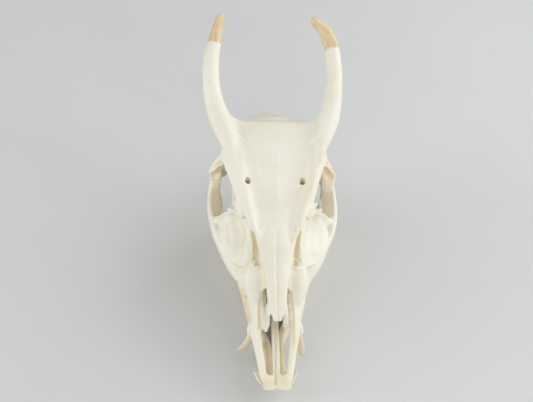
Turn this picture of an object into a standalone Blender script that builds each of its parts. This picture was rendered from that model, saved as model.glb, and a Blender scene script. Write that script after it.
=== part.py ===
"""A muntjac buck's skull with its lower jaw, resting on the jaw's lower edge.

The nose points along -Y, the buck's left side is +X and up is +Z.
Sizes are in millimetres in the skull's own frame: Y runs back from the front of the
premaxillae, and Z rises from the edge of the palate. settle() then tips the skull nose down
until the lower edge of the jaw lies level, and puts the floor at Z = 0.
"""
import math

import bmesh
import bpy
import numpy as np
from mathutils import Matrix, Vector

MM = 0.001

# Driving sizes, in millimetres
KERF = 0.3                 # gap kept between neighbouring bones
VOXEL = 0.6                # grid on which overlapping masses are fused into one bone
REST_TILT = 5.5            # degrees that the resting skull is tipped nose down
FLAT_DEPTH = 0.4           # how much of the lower edge is worn flat where the jaw rests
CRANIUM_TRIANGLES = 6400
JAW_TRIANGLES = 700        # one half of the lower jaw, before its teeth
STALK_LEAN = 0.7           # how far both bony stalks lean to the buck's right
ARCH_SHIFT = 0.5           # how far both cheekbones sit towards the buck's left
RIGHT_FLARE = 0.9          # how much further the right eye's outer corner stands out
BITE = -5.6                # height of the surface on which the cheek teeth meet
BITE_GAP = 0.18            # how far each row's cusps stay from that surface
FAR = 300.0                # size of the blocks that take away a whole side
SHARP_ANGLE = 40           # degrees between faces from which an edge is shaded sharp
MASS_ROUNDS = 6            # smoothing of the fused masses
EDGE_ROUNDS = 4            # smoothing once the openings are carved, and of the jaw

BONE = ("bone", (0.86, 0.83, 0.72), 0.55)
FACE_BONE = ("face_bone", (0.88, 0.86, 0.77), 0.5)
JAW_BONE = ("jaw_bone", (0.84, 0.79, 0.66), 0.55)
ANTLER = ("antler", (0.62, 0.47, 0.28), 0.6)
TUSK_IVORY = ("tusk_ivory", (0.80, 0.70, 0.50), 0.35)


def clear_scene():
    for item in list(bpy.data.objects):
        bpy.data.objects.remove(item, do_unlink=True)


def finish_of(look):
    name, colour, roughness = look
    material = bpy.data.materials.get(name)
    if material is None:
        material = bpy.data.materials.new(name)
        material.use_nodes = True
        shader = material.node_tree.nodes["Principled BSDF"]
        shader.inputs["Base Color"].default_value = (*colour, 1.0)
        shader.inputs["Roughness"].default_value = roughness
        shader.inputs["Metallic"].default_value = 0.0
    return material


def new_object(name, mesh):
    item = bpy.data.objects.new(name, mesh)
    bpy.context.scene.collection.objects.link(item)
    return item


def from_bmesh(name, mesh):
    mesh.normal_update()
    bmesh.ops.recalc_face_normals(mesh, faces=mesh.faces)
    data = bpy.data.meshes.new(name)
    mesh.to_mesh(data)
    mesh.free()
    return new_object(name, data)


def drop(item):
    bpy.data.objects.remove(item, do_unlink=True)


def apply_modifiers(item):
    """The object's mesh becomes what its modifiers make of it."""
    graph = bpy.context.evaluated_depsgraph_get()
    mesh = bpy.data.meshes.new_from_object(item.evaluated_get(graph))
    item.modifiers.clear()
    item.data = mesh


# Shapes that bones are built up from

def smooth_path(rows, steps):
    """Rows of numbers, with steps to each stretch, on a Catmull-Rom curve through them all."""
    rows = np.array(rows, float)
    if len(rows) < 3:
        share = np.linspace(0, 1, steps + 1)[:, None]
        return rows[0] * (1 - share) + rows[-1] * share
    ends = np.vstack([2 * rows[0] - rows[1], rows, 2 * rows[-1] - rows[-2]])
    made = []
    for i in range(1, len(ends) - 2):
        before, start, end, after = ends[i - 1:i + 3]
        for t in np.arange(steps) / steps:
            made.append(0.5 * (2 * start + (end - before) * t
                               + (2 * before - 5 * start + 4 * end - after) * t ** 2
                               + (3 * start - before - 3 * end + after) * t ** 3))
    made.append(rows[-1])
    return np.array(made)


def sweep(stations, side=1, up=(0, 0, 1), steps=4, sides=14, power=2.0, ends=None, grow=0.0):
    """A closed solid along stations (x, y, z, half width, half height, roll in degrees).

    Roll 0 lays the width level, across the path. Side -1 mirrors the solid to -X. A power over
    2 squares its section. ends gives the lengths of the two round ends, 0 for a flat one and
    else half the lesser half size. grow makes every half size that much larger.
    """
    rows = [tuple(s) + (0.0,) * (6 - len(s)) for s in stations]
    path = smooth_path(rows, steps)
    centres, halves, rolls = path[:, :3], np.maximum(path[:, 3:5], 0.15) + grow, np.radians(path[:, 5])
    along = np.gradient(centres, axis=0)
    along /= np.linalg.norm(along, axis=1)[:, None]
    level = np.cross(along, np.array(up, float))
    level /= np.linalg.norm(level, axis=1)[:, None]
    rise = np.cross(level, along)
    first, last = (min(halves[0]) * 0.5, min(halves[-1]) * 0.5) if ends is None else ends
    angles = np.arange(sides) / sides * 2 * math.pi
    across = np.sign(np.cos(angles)) * np.abs(np.cos(angles)) ** (2 / power)
    upward = np.sign(np.sin(angles)) * np.abs(np.sin(angles)) ** (2 / power)

    def ring(i, shift, scale):
        wide = level[i] * math.cos(rolls[i]) + rise[i] * math.sin(rolls[i])
        tall = rise[i] * math.cos(rolls[i]) - level[i] * math.sin(rolls[i])
        flat = np.outer(across * halves[i][0], wide) + np.outer(upward * halves[i][1], tall)
        return centres[i] + along[i] * shift + scale * flat

    cap = [(math.sin(t), math.cos(t)) for t in (math.radians(30), math.radians(60))]
    rings = [ring(0, -(first + grow) * s, c) for s, c in reversed(cap) if first > 0]
    rings += [ring(i, 0, 1) for i in range(len(centres))]
    rings += [ring(-1, (last + grow) * s, c) for s, c in cap if last > 0]
    tips = centres[0] - along[0] * (first + grow), centres[-1] + along[-1] * (last + grow)
    mesh = bmesh.new()

    def vertex(p):
        return mesh.verts.new(Vector((p[0] * side, p[1], p[2])) * MM)

    loops = [[vertex(p) for p in spots] for spots in rings]
    for low, high in zip(loops, loops[1:]):
        for i in range(sides):
            j = (i + 1) % sides
            mesh.faces.new((low[i], low[j], high[j], high[i]))
    for loop, tip in ((loops[0], vertex(tips[0])), (loops[-1], vertex(tips[1]))):
        for i in range(sides):
            mesh.faces.new((loop[i], loop[(i + 1) % sides], tip))
    return from_bmesh("mass", mesh)


def turned(angles):
    x, y, z = (math.radians(a) for a in angles)
    return Matrix.Rotation(z, 4, "Z") @ Matrix.Rotation(y, 4, "Y") @ Matrix.Rotation(x, 4, "X")


def ball(centre, radii, side=1, turn=(0, 0, 0), grow=0.0):
    """An ellipsoid, turned by angles in degrees about X, then Y, then Z."""
    mesh = bmesh.new()
    bmesh.ops.create_uvsphere(mesh, u_segments=20, v_segments=12, radius=1.0)
    place = Matrix.Translation(Vector(centre)) @ turned(turn) \
        @ Matrix.Diagonal((*(r + grow for r in radii), 1.0))
    bmesh.ops.transform(mesh, matrix=place, verts=mesh.verts)
    for v in mesh.verts:
        v.co = Vector((v.co.x * side, v.co.y, v.co.z)) * MM
    return from_bmesh("mass", mesh)


def block(low, high, turn=(0, 0, 0), grow=0.0):
    """A box between two corners, turned about its middle."""
    low, high = Vector(map(min, low, high)), Vector(map(max, low, high))
    mesh = bmesh.new()
    bmesh.ops.create_cube(mesh, size=1.0)
    size = high - low + Vector((2 * grow,) * 3)
    middle = Matrix.Translation((low + high) / 2 * MM)
    place = middle @ turned(turn) @ Matrix.Diagonal((*(size * MM), 1.0))
    bmesh.ops.transform(mesh, matrix=place, verts=mesh.verts)
    return from_bmesh("mass", mesh)


def boxed(rows, side=1, grow=0.0):
    """A solid with a rectangular section, through rows of y, x range and z range."""
    mesh = bmesh.new()
    loops = []
    for i, (y, x0, x1, z0, z1) in enumerate(rows):
        reach = {0: -grow, len(rows) - 1: grow}.get(i, 0.0)
        x0, x1, z0, z1 = x0 - grow, x1 + grow, z0 - grow, z1 + grow
        spots = [(x0, z0), (x1, z0), (x1, z1), (x0, z1)]
        loops.append([mesh.verts.new(Vector((x * side, y + reach, z)) * MM) for x, z in spots])
    for low, high in zip(loops, loops[1:]):
        for i in range(4):
            j = (i + 1) % 4
            mesh.faces.new((low[i], low[j], high[j], high[i]))
    mesh.faces.new(loops[0])
    mesh.faces.new(loops[-1])
    return from_bmesh("region", mesh)


def both(make):
    """What make(side) builds, for the buck's left and right."""
    return [piece for side in (1, -1) for piece in make(side)]


# Joining and cutting

def joined(pieces, name):
    """The pieces' meshes in one object, still overlapping."""
    mesh = bmesh.new()
    for piece in pieces:
        mesh.from_mesh(piece.data)
        drop(piece)
    data = bpy.data.meshes.new(name)
    mesh.to_mesh(data)
    mesh.free()
    return new_object(name, data)


def soften(item, rounds, voxel=VOXEL):
    """Fuses what overlaps into one skin, and rounds its creases."""
    remesh = item.modifiers.new("fuse", "REMESH")
    remesh.mode = "VOXEL"
    remesh.voxel_size = voxel * MM
    relax = item.modifiers.new("relax", "SMOOTH")
    relax.factor = 0.5
    relax.iterations = rounds
    apply_modifiers(item)


def boolean(item, other, operation):
    cut = item.modifiers.new("cut", "BOOLEAN")
    cut.operation = operation
    cut.solver = "MANIFOLD"
    cut.object = other
    apply_modifiers(item)


def carve(item, cutters):
    for cutter in cutters:
        boolean(item, cutter, "DIFFERENCE")
        drop(cutter)


def fuse(item, pieces):
    """One union of the item with all the pieces."""
    group = bpy.data.collections.new("pieces")
    for piece in pieces:
        group.objects.link(piece)
    union = item.modifiers.new("union", "BOOLEAN")
    union.operation = "UNION"
    union.solver = "MANIFOLD"
    union.operand_type = "COLLECTION"
    union.collection = group
    apply_modifiers(item)
    for piece in pieces:
        drop(piece)
    bpy.data.collections.remove(group)


def thin_out(item, triangles):
    """Larger faces where the surface is plain, down to this many triangles."""
    item.data.calc_loop_triangles()
    count = len(item.data.loop_triangles)
    if count > triangles:
        fewer = item.modifiers.new("fewer", "DECIMATE")
        fewer.ratio = triangles / count
        apply_modifiers(item)


def largest_only(item):
    """Drops every closed surface but the largest, so that the node is one body."""
    mesh = bmesh.new()
    mesh.from_mesh(item.data)
    left, groups = set(mesh.verts), []
    while left:
        reached, edge = set(), [next(iter(left))]
        while edge:
            v = edge.pop()
            if v not in reached:
                reached.add(v)
                edge += [e.other_vert(v) for e in v.link_edges]
        left -= reached
        groups.append(reached)
    keep = max(groups, key=lambda g: np.prod(np.ptp(np.array([v.co for v in g]), axis=0)))
    bmesh.ops.delete(mesh, geom=[v for v in mesh.verts if v not in keep], context="VERTS")
    mesh.to_mesh(item.data)
    mesh.free()


def parted(whole, name, region, look):
    """Takes the node that lies inside region(grow) off the whole, with a thin gap between."""
    node = whole.copy()
    node.data = whole.data.copy()
    node.name = name
    bpy.context.scene.collection.objects.link(node)
    inside, around = region(0.0), region(KERF)
    boolean(node, inside, "INTERSECT")
    boolean(whole, around, "DIFFERENCE")
    drop(inside)
    drop(around)
    for item in (node, whole):
        largest_only(item)
    dress(node, look)
    return node


def dress(item, look):
    item.data.materials.clear()
    item.data.materials.append(finish_of(look))
    item.data.shade_smooth()
    item.data.set_sharp_from_angle(angle=math.radians(SHARP_ANGLE))


def halved(whole, name, look):
    """The buck's left and right halves of a bone that meets its fellow on the midline."""

    def left_side(grow):
        return block((KERF / 2 - grow, -FAR, -FAR), (FAR, FAR, FAR))

    left = parted(whole, name + "_left", left_side, look)
    whole.name = name + "_right"
    dress(whole, look)
    return [left, whole]


# The cranium's masses, each named for the bone or part that it shapes

def braincase():
    return [sweep([(0, 103, 27.5, 10.5, 13), (0, 111, 29, 17, 16.5), (0, 121, 30, 22.5, 19),
                   (0, 132, 29.2, 25.2, 19.4), (0, 142, 27.8, 24.4, 17.4), (0, 149.5, 25.8, 20.6, 14),
                   (0, 154, 24, 16, 11)], power=2.1, sides=24, ends=(4, 2))]


def occiput():
    crest = [sweep([(-22.5, 143, 20, 1.4, 2), (-20, 148, 28, 1.3, 2.2), (-11, 152.6, 34, 1.3, 2.2),
                    (-4.6, 154.6, 35.6, 1.4, 2.2), (0, 155.4, 37.2, 1.5, 2.6), (4.6, 154.6, 35.6, 1.4, 2.2),
                    (11, 152.6, 34, 1.3, 2.2), (20, 148, 28, 1.3, 2.2), (22.5, 143, 20, 1.4, 2)],
                   up=(0, 1, 0))]
    boss = [sweep([(0, 154.6, 34.6, 2.4, 2), (0, 155.4, 28, 1.4, 1.6), (0, 155, 23, 2, 1.2)], up=(0, 1, 0))]
    plate = [sweep([(0, 148.5, 36, 11, 3), (0, 150, 29, 18, 4.4), (0, 150, 21, 18.6, 5),
                    (0, 150.5, 13, 14, 5.4), (0, 150, 8, 9, 4.4)], up=(0, 1, 0), sides=20, power=2.6)]
    base = [sweep([(0, 116, 12, 5, 3.4), (0, 126, 11, 8, 3.6), (0, 136, 10.5, 11, 4.4),
                   (0, 146, 9.6, 8.6, 4.4), (0, 153, 9.4, 7.6, 4.4)])]

    def side_parts(side):
        condyle = sweep([(4.6, 153, 7.4, 3, 3.6), (7.2, 155, 10.8, 4.2, 4.6), (8.8, 154.6, 16, 3.8, 4)],
                        side, (0, 1, 0))
        paroccipital = sweep([(19.5, 144, 14, 4.8, 4), (19.3, 147.5, 6, 3.2, 2.4),
                              (18.3, 149, -1, 2.1, 1.6), (17.6, 148.5, -6, 1.3, 1.1)], side, (0, 1, 0))
        bulla = sweep([(11.5, 126, 9.6, 2.4, 2.4), (13.6, 132, 8.6, 4.4, 4.6), (15, 138.5, 8.4, 5, 5.2),
                       (16, 143.5, 10, 3.6, 3.6)], side)
        ear_tube = sweep([(17, 137, 11, 3.2, 3.2), (23, 139.5, 13, 2.8, 2.8),
                          (26.2, 141, 14, 2.6, 2.6)], side)
        return [condyle, paroccipital, bulla, ear_tube]

    return crest + boss + plate + base + both(side_parts)


def forehead():
    plate = [sweep([(0, 68, 31.5, 9, 2.5), (0, 78, 34.5, 11, 3), (0, 88, 37, 14, 3.4),
                    (0, 98, 39, 17, 3.6), (0, 108, 41.5, 19.5, 3.8), (0, 118, 45, 22.2, 4),
                    (0, 127, 48.4, 24.4, 4.2), (0, 134.5, 49.9, 24.6, 4)], power=4, sides=24,
                   ends=(3, 2)),
             sweep([(0, 80, 35.6, 3, 2.4), (0, 100, 40.6, 3.5, 2.6), (0, 118, 47, 3, 2.6),
                    (0, 133, 50.9, 3, 2.4)]),
             sweep([(-17, 136.4, 47.6, 3, 3), (0, 138.4, 48, 4, 4), (17, 136.4, 47.6, 3, 3)])]

    def side_parts(side):
        ridge = sweep([(9.4, 67, 32.3, 1.6, 1.8), (11.4, 76, 36, 2, 2.2), (13.2, 86, 38.6, 2.4, 2.6),
                       (15.2, 96, 40.8, 2.8, 2.8), (17.6, 107, 43.2, 3.4, 3.2),
                       (20.6, 116, 46, 4.2, 3.8), (23.8, 125, 49.8, 5.4, 4.6)], side)
        brow = sweep([(13, 78, 36, 2.2, 1.3, -12), (16.4, 86, 37.6, 2.6, 1.3, -14),
                      (18.8, 94, 39.6, 3, 1.4, -16), (20.9, 103, 41.6, 3.4, 1.6, -16),
                      (23.4, 112, 43, 3.7, 2, -12), (25, 119, 45.4, 3.8, 2.6, 0)], side)
        web = sweep([(17, 132, 50.2, 3, 3.2), (22.5, 134.4, 51.8, 3, 3), (27.5, 137, 54.6, 3, 3)], side)
        return [ridge, brow, web]

    return plate + both(side_parts)


def pedicles_and_antlers():
    """The bony stalks sweep out and back. Their tips differ: the left one hooks inwards."""

    def stalk(side):
        lean = -STALK_LEAN * side
        return [(21.5, 114, 45.6, 3, 3), (24.6, 123, 49.6, 5, 5), (28, 131.5, 53.6, 6, 5.6),
                (30.8 + lean / 2, 139, 57.4, 5.6, 5.4), (32.8 + lean, 148, 61.8, 4.9, 4.9),
                (33.5 + lean, 157, 65.5, 4.6, 4.7), (33.3 + lean, 165, 68.9, 4.5, 4.6),
                (32.2 + lean / 2, 172.5, 72, 4.1, 4.1)]

    hooked = [(31.2, 176, 73.6, 3.8, 3.9), (29, 180.4, 76.2, 3.4, 3.5), (25.4, 183.6, 79, 2.9, 2.9),
              (21, 184.6, 81.6, 2.3, 2.3)]
    straight = [(31.5, 177.5, 74.4, 3.6, 3.6), (30.4, 183, 77, 2.8, 2.9), (29.2, 187.8, 79.4, 2.2, 2.3)]
    return [sweep(stalk(1) + hooked, 1, sides=18, ends=(3, 1.2)),
            sweep(stalk(-1) + straight, -1, sides=18, ends=(3, 1.2))]


def arch(side):
    """The cheekbone, the shelf under the eye, the bar behind it and the root at the ear."""
    out = ARCH_SHIFT * side
    half = out / 2
    bar = sweep([(25, 117, 44.6, 4, 3), (27.1 - 2 * out, 117.6, 39.6, 3.8, 1.9),
                 (29.9 - out, 117.4, 34, 3.8 + half, 1.6), (30.7 + half, 116.4, 28, 3.9 + half, 1.5),
                 (30.7 + half, 115.4, 21, 3.8 + half, 1.5), (31.2 + out, 113.6, 16.8, 3, 1.2)],
                side, (0, 1, 0))
    flare = RIGHT_FLARE * (side < 0)
    corner = ball((33.2 + out + flare, 117.4, 29 + 2 * flare), (1.7, 1.6, 3.6), side)
    shelf = sweep([(28, 84, 16, 5.4, 2.4, 20), (28.6, 92, 16.6, 5.2, 1.7, 30),
                   (29.8, 99, 16.2, 5.4, 1.2, 36), (30 + out, 107, 16.2, 5.4, 1.1, 40),
                   (30.6 + out, 113, 17.4, 5, 1.2, 43), (32.6, 120, 20.6, 2.6, 1.3, 74)], side)
    jugal = sweep([(18.2, 62, 10, 4.2, 2.4, 78), (23, 69, 12, 5, 2.4, 76), (27.4, 78, 14.4, 6, 2, 76),
                   (31 + out, 87, 16.2, 6, 1.9, 82), (33.2 + out, 96, 17, 5, 1.8, 88),
                   (33.9 + out, 105, 17.2, 4, 1.7, 90), (33.4 + out, 114, 18.8, 3.6, 1.7, 90),
                   (32.5 + out, 122, 21, 3.4, 1.6, 90), (31, 129.5, 22.4, 3.8, 1.7, 84),
                   (27, 134.8, 21, 3.6, 2.6, 60), (21, 137, 19, 3.6, 3.6, 30)], side)
    root = sweep([(31, 129.5, 20.4, 1.8, 2.2), (26.6, 132.5, 18.4, 3.6, 2.2), (21, 134, 17.4, 4.5, 3)],
                 side)
    return [bar, corner, shelf, jugal, root]


def cheeks(side):
    """The block between nose and cheekbone that holds the deep pit in front of the eye."""
    pit_wall = sweep([(13.5, 64, 19, 8, 5, -48), (15.6, 71, 22, 10.6, 5.4, -48),
                      (17.4, 79, 24.4, 12.6, 5.6, -46), (19.4, 87, 26, 12.6, 4.6, -44)], side, power=2.6)
    rim = sweep([(19.4, 88.4, 34.4, 2.4, 2.2), (23.4, 89.6, 29.4, 2.8, 2.2), (26.6, 90.6, 24, 3, 2.4),
                 (30, 93, 19.4, 2.6, 2.4)], side, (0, 1, 0))
    bulge = sweep([(20, 80, 15, 7, 8), (21.5, 87, 17.5, 7.4, 9), (20.5, 92.6, 18, 6.4, 8)], side)
    tuber = sweep([(13, 76, 10, 7, 8), (14.6, 88, 11, 6.5, 7.6), (13.6, 95, 12, 5, 6.5)], side)
    tubercle = ball((17.6, 60.5, 9.4), (1.8, 3.4, 2.8), side)
    eye_wall = sweep([(12.4, 90, 27, 6.4, 10), (13.4, 98, 28.6, 6.4, 10.6), (14.6, 107, 31, 6.4, 10),
                      (15, 114, 32, 6, 9)], side)
    eye_floor = sweep([(15, 92, 20, 7, 6), (15.4, 100, 21.5, 6.8, 6.5), (16, 110, 23, 6, 6.5),
                       (16.5, 118, 24, 5, 6)], side)
    return [pit_wall, rim, bulge, tuber, tubercle, eye_wall, eye_floor]


def snout():
    core = [sweep([(0, 50, 13.5, 10, 11.5), (0, 60, 15.5, 11, 14), (0, 72, 18, 11, 15),
                   (0, 86, 20.5, 10.5, 16.5), (0, 100, 24, 10.5, 16), (0, 110, 27, 13, 15)],
                  power=2.4, sides=20),
            sweep([(0, 44, 2.6, 10, 1.8), (0, 54, 3.4, 12, 2.6), (0, 72, 4, 13.4, 3.4),
                   (0, 90, 4.6, 14, 3.6), (0, 96, 5.2, 12.5, 3.6)], power=3)]

    def side_parts(side):
        nasal = sweep([(1.4, 28, 19.8, 1.3, 0.8, -8), (2.3, 31.5, 21.1, 2.2, 0.9, -12),
                       (2.8, 35, 22.2, 2.7, 1, -13), (2.9, 38, 23.1, 2.8, 1.1, -14),
                       (3.2, 46, 25.5, 3.1, 1.3, -16), (3.9, 54, 28, 3.8, 1.6, -18),
                       (4.6, 62, 30.6, 4.6, 2, -16), (5, 70, 33, 5, 2.4, -12)], side,
                      power=2.6, ends=(1, 1))
        wall = sweep([(5.4, 5, 1.5, 3.2, 1.7, 160), (7.6, 14, 2.9, 2.6, 1.9, 142),
                      (9.4, 24.5, 4.9, 3.2, 2, 125), (10.6, 34, 7.2, 6.2, 1.9, 112),
                      (11, 42, 9.8, 8.4, 2.2, 114), (11.4, 50, 12.6, 10, 3.2, 117),
                      (12.2, 58, 15, 10.4, 4.2, 120), (13, 66, 17, 10.5, 5, 124)], side, sides=20)
        lobe = sweep([(10.4, 43, 15.4, 3.2, 2.6), (11.4, 49.5, 19, 4.8, 3.6), (11.2, 55.5, 22.4, 5.6, 4.2),
                      (10, 61, 25.4, 4.6, 3.6)], side, ends=(2, 2))
        gum = sweep([(11.4, 38, 2.6, 1.8, 2.2), (11.6, 46, 3.6, 2.6, 3.6), (12.3, 54, 4.2, 3.4, 4.2),
                     (13.8, 62, 4.8, 3.9, 4.8), (15.6, 72, 5.2, 4.5, 5.2), (16.7, 82, 5.8, 4.7, 5.8),
                     (16.6, 91, 6.8, 4.4, 6.4), (15, 97, 8, 3.4, 5)], side, power=2.6)
        socket = ball((11.6, 35, 3), (2.6, 4.4, 3), side)
        plate = sweep([(2.8, 2.5, 0.5, 3.4, 1.3), (4.4, 6, 1, 4, 1.5), (5.8, 10, 1.4, 3, 1.4)], side)
        front = sweep([(0.9, 1.9, 0.5, 1.6, 1.2), (0.9, 8, 1.2, 1.6, 1.4)], side)
        bar = sweep([(1.15, 6, 1.2, 1.1, 1.2), (1.15, 18, 2.4, 1.05, 1.5), (1.15, 32, 3.2, 1.0, 1.6),
                     (1.1, 44, 3.8, 1.0, 1.8), (1, 54, 5, 1, 2)], side)
        wing = sweep([(8, 94, 2.6, 0.9, 3.4), (7.4, 104, 4.4, 0.9, 4.6), (7.2, 114, 7.6, 1, 4.4),
                      (8, 122, 10.5, 1.4, 3)], side)
        return [nasal, wall, lobe, gum, socket, plate, front, bar, wing]

    return core + both(side_parts)


def cranium_openings():
    nose = [sweep([(0, 38, 13.5, 6.8, 8.5), (0, 48, 15, 7.4, 8.6), (0, 57, 17, 6.4, 8),
                   (0, 64, 19, 4, 5.5)], power=2.3, sides=18),
            block((-5.4, 8, -4), (-2.3, 43.5, 9)), block((2.3, 8, -4), (5.4, 43.5, 9))]
    magnum = [ball((0, 160, 16), (6, 16, 5.4), 1, (8, 0, 0))]

    def side_parts(side):
        pit = ball((24.2, 77, 31.6), (12.5, 15, 7), side, (17, 47, 0))
        slot = sweep([(9.2, 56, 28.4, 1.4, 4.5), (10.4, 63, 31.8, 1.4, 4.5), (11.6, 71, 35.4, 1, 3.4),
                      (12.6, 77, 37.6, 0.6, 2.4)], side)
        brow_hole = sweep([(14.6, 100, 46, 1.3, 1.6), (14.6, 102.4, 38.6, 1.1, 1.3)], side, (0, 1, 0))
        cheek_hole = sweep([(17, 47, 9.5, 1.3, 1.5), (11.4, 52, 11, 1.1, 1.3)], side)
        ear_hole = sweep([(29, 142, 15, 1.5, 1.5), (21, 139, 12.4, 1.4, 1.4)], side)
        jaw_socket = ball(JAW_CONDYLE, CONDYLE_RADII, side, grow=KERF)
        return [pit, slot, brow_hole, cheek_hole, ear_hole, jaw_socket]

    return nose + magnum + both(side_parts)


def fine_edges(side):
    """Thin parts that are added once the openings are carved."""
    scroll = sweep([(5.4, 32.4, 9.4, 2.6, 0.9, 100), (6, 37, 11, 3.6, 0.9, 104),
                    (6.4, 45, 13, 4.4, 0.9, 106), (6.8, 54, 15, 4.8, 1.2, 108)], side)
    scroll_foot = sweep([(8.6, 34.6, 7.6, 2.4, 0.8, 20), (8, 44, 9.2, 2.8, 0.8, 24),
                         (8, 53, 11, 3, 1, 24)], side)
    lash = sweep([(18.5, 86.5, 34.4, 1.6, 1.6), (20.8, 88.4, 34.6, 1.4, 1.2), (22.4, 89.6, 34.6, 1.1, 1)],
                 side)
    knob = sweep([(17, 86.5, 36, 1.6, 1.2), (18.4, 88.8, 37.4, 1.2, 1), (19, 90.2, 38.2, 1, 0.8)], side)
    return [scroll, scroll_foot, lash, knob]


def make_cranium():
    masses = (braincase() + occiput() + forehead() + pedicles_and_antlers()
              + both(arch) + both(cheeks) + snout())
    whole = joined(masses, "cranium")
    soften(whole, MASS_ROUNDS)
    carve(whole, cranium_openings())
    whole = joined([whole] + both(fine_edges), "cranium")
    soften(whole, EDGE_ROUNDS)
    largest_only(whole)
    return whole


# The lower jaw

JAW_CONDYLE = (28, 132, 12.6)
CONDYLE_RADII = (5.2, 2.5, 2.5)
# From the chin back along the middle of one half: x, y, top, bottom, half thickness
JAW_BODY = [(2.3, 5, -4.4, -7.4, 2), (3.2, 12, -4.8, -10, 3.1), (3, 22, -6, -12.6, 2.7),
            (3.4, 33, -7.5, -15.3, 2.5), (5.6, 41, -8.8, -17.6, 2.5), (9.2, 52, -10.4, -20.5, 2.8),
            (11.6, 66, -10.4, -21.9, 3.3), (13.8, 80, -10.2, -23.3, 3.6), (16.6, 92, -9.6, -24.4, 3.6),
            (21, 101, -8.6, -25.2, 2.8), (25, 109, -7.4, -26, 2.1), (27.4, 116, -7, -26, 1.6)]


def make_jaw(side):
    """One half of the lower jaw, without its teeth."""
    body = sweep([(x, y, (top + low) / 2, thick, (top - low) / 2) for x, y, top, low, thick in JAW_BODY],
                 side, sides=18, power=2.4)
    branch = sweep([(27.2, 115.4, -14, 7.4, 1.5), (29.8, 119, -2, 7, 1.2), (30.7, 122, 7, 5.8, 1.1)],
                   side, (1, 0, 0))
    hook = sweep([(30.4, 120, 3, 4.6, 1.1), (30.3, 122.4, 12, 3.4, 1), (29.3, 123.4, 17, 2.8, 0.9),
                  (28.6, 124.8, 23, 2.3, 0.9), (28, 127.6, 31.5, 1.5, 0.8)], side, (1, 0, 0))
    neck = sweep([(30.4, 124, 1, 3, 1.1), (30.6, 128.5, 7.4, 2.6, 1.2), (28.4, 131.6, 12, 2.2, 2.6)],
                 side, (1, 0, 0))
    condyle = ball(JAW_CONDYLE, CONDYLE_RADII, side)
    angle = ball((27.8, 118, -17), (1.7, 10, 9.2), side, (0, 4, 0))
    jaw = joined([body, branch, hook, neck, condyle, angle], "mandible_" + name_of(side))
    soften(jaw, EDGE_ROUNDS)
    chin_gap = block((-FAR * side, -FAR, -FAR), (KERF / 2 * side, FAR, FAR))
    carve(jaw, [chin_gap])
    largest_only(jaw)
    thin_out(jaw, JAW_TRIANGLES)
    return jaw


def name_of(side):
    return "left" if side > 0 else "right"


# Teeth: x, y, half width and half length of each cheek tooth, front to back

UPPER_TEETH = [(10.6, 51.6, 2.9, 3.4), (12.2, 58.5, 3.4, 3.3), (14, 65.2, 3.9, 3.2),
               (15.6, 72.8, 4.3, 4.2), (16.7, 82, 4.6, 4.8), (16.8, 91.6, 4.3, 4.6)]
LOWER_TEETH = [(9, 50.4, 1.8, 2.9), (10.2, 56.8, 2.1, 3.3), (11.4, 63.8, 2.4, 3.5),
               (12.6, 71.8, 2.9, 4.1), (14.2, 80.8, 3.2, 4.5), (16, 91, 3.1, 5.4)]
# Incisors: root x, y and z, tip x, y and z, half width of the blade
FRONT_TEETH = [(1.7, 10.6, -6.6, 3.3, 5.7, -3.4, 2.6), (2.8, 10.4, -6.8, 7.4, 5.7, -3.2, 1.7),
               (3.4, 12, -7.2, 9.6, 8.6, -3.3, 1.4), (3.8, 14, -7.6, 11, 12, -3.5, 1.3)]
TUSKS = {1: [(11.2, 36.5, 6.5, 1.8, 1.4), (12.4, 34.6, 2, 2, 1.5), (13.8, 32.4, -4, 2, 1.4),
             (14.8, 30.8, -8.4, 1.9, 1.2), (15.2, 29.8, -11.3, 1.6, 0.9)],
         -1: [(11.2, 36.5, 6.5, 1.8, 1.4), (12.6, 35, 2, 2.1, 1.5), (14.6, 33.8, -4, 2.2, 1.5),
              (16.4, 33, -8.6, 2, 1.3), (17.5, 32.6, -11.6, 1.7, 0.9)]}


def cheek_tooth(spot, side, root, neck, crown):
    """A crown on a root that is sunk into the bone, given the heights of root, neck and cusps."""
    x, y, wide, long = spot
    return sweep([(x, y, root, wide * 0.7, long * 0.75), (x, y, neck, wide * 0.92, long * 0.94),
                  (x, y, neck * 0.3 + crown * 0.7, wide, long), (x, y, crown, wide * 0.74, long * 0.92)],
                 side, (0, 1, 0), steps=1, sides=8, power=2.8, ends=(0, 0))


def upper_teeth(side):
    return [cheek_tooth(spot, side, 4.5, 0.4, BITE + BITE_GAP) for spot in UPPER_TEETH]


def lower_teeth(side):
    return [cheek_tooth(spot, side, -14.5, -10, BITE - BITE_GAP) for spot in LOWER_TEETH]


def front_teeth(side):
    made = []
    for rx, ry, rz, tx, ty, tz, blade in FRONT_TEETH:
        root, tip = Vector((rx, ry, rz)), Vector((tx, ty, tz))
        neck, mid = root.lerp(tip, 0.45), root.lerp(tip, 0.8)
        made.append(sweep([(*root, 0.9, 0.9), (*neck, 1.1, 0.9), (*mid, blade, 0.8),
                           (*tip, blade * 0.9, 0.45)], side, steps=1, sides=8, ends=(0, 0)))
    return made


def tusk(side, grow=0.0):
    return sweep(TUSKS[side], side, (0, 1, 0), steps=2, sides=8, ends=(0, 0.7), grow=grow)


# Where the cranium's bones part, as blocks and rods that hold one bone each

def rod_region(rows, radius, side):
    stations = [(*row, radius, radius) for row in rows]
    return lambda grow: sweep(stations, side, steps=1, sides=8, ends=(0, 0), grow=grow)


def antler_region(side):
    tips = {1: [(29.2, 180.2, 76), (25.8, 183.4, 78.8), (18, 185, 83)],
            -1: [(30.4, 183, 77), (28, 192, 81)]}
    rows = [(32.2, 172.5, 72), (31.4, 176.5, 73.8)] + tips[side]
    return rod_region(rows, 7, side)


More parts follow.
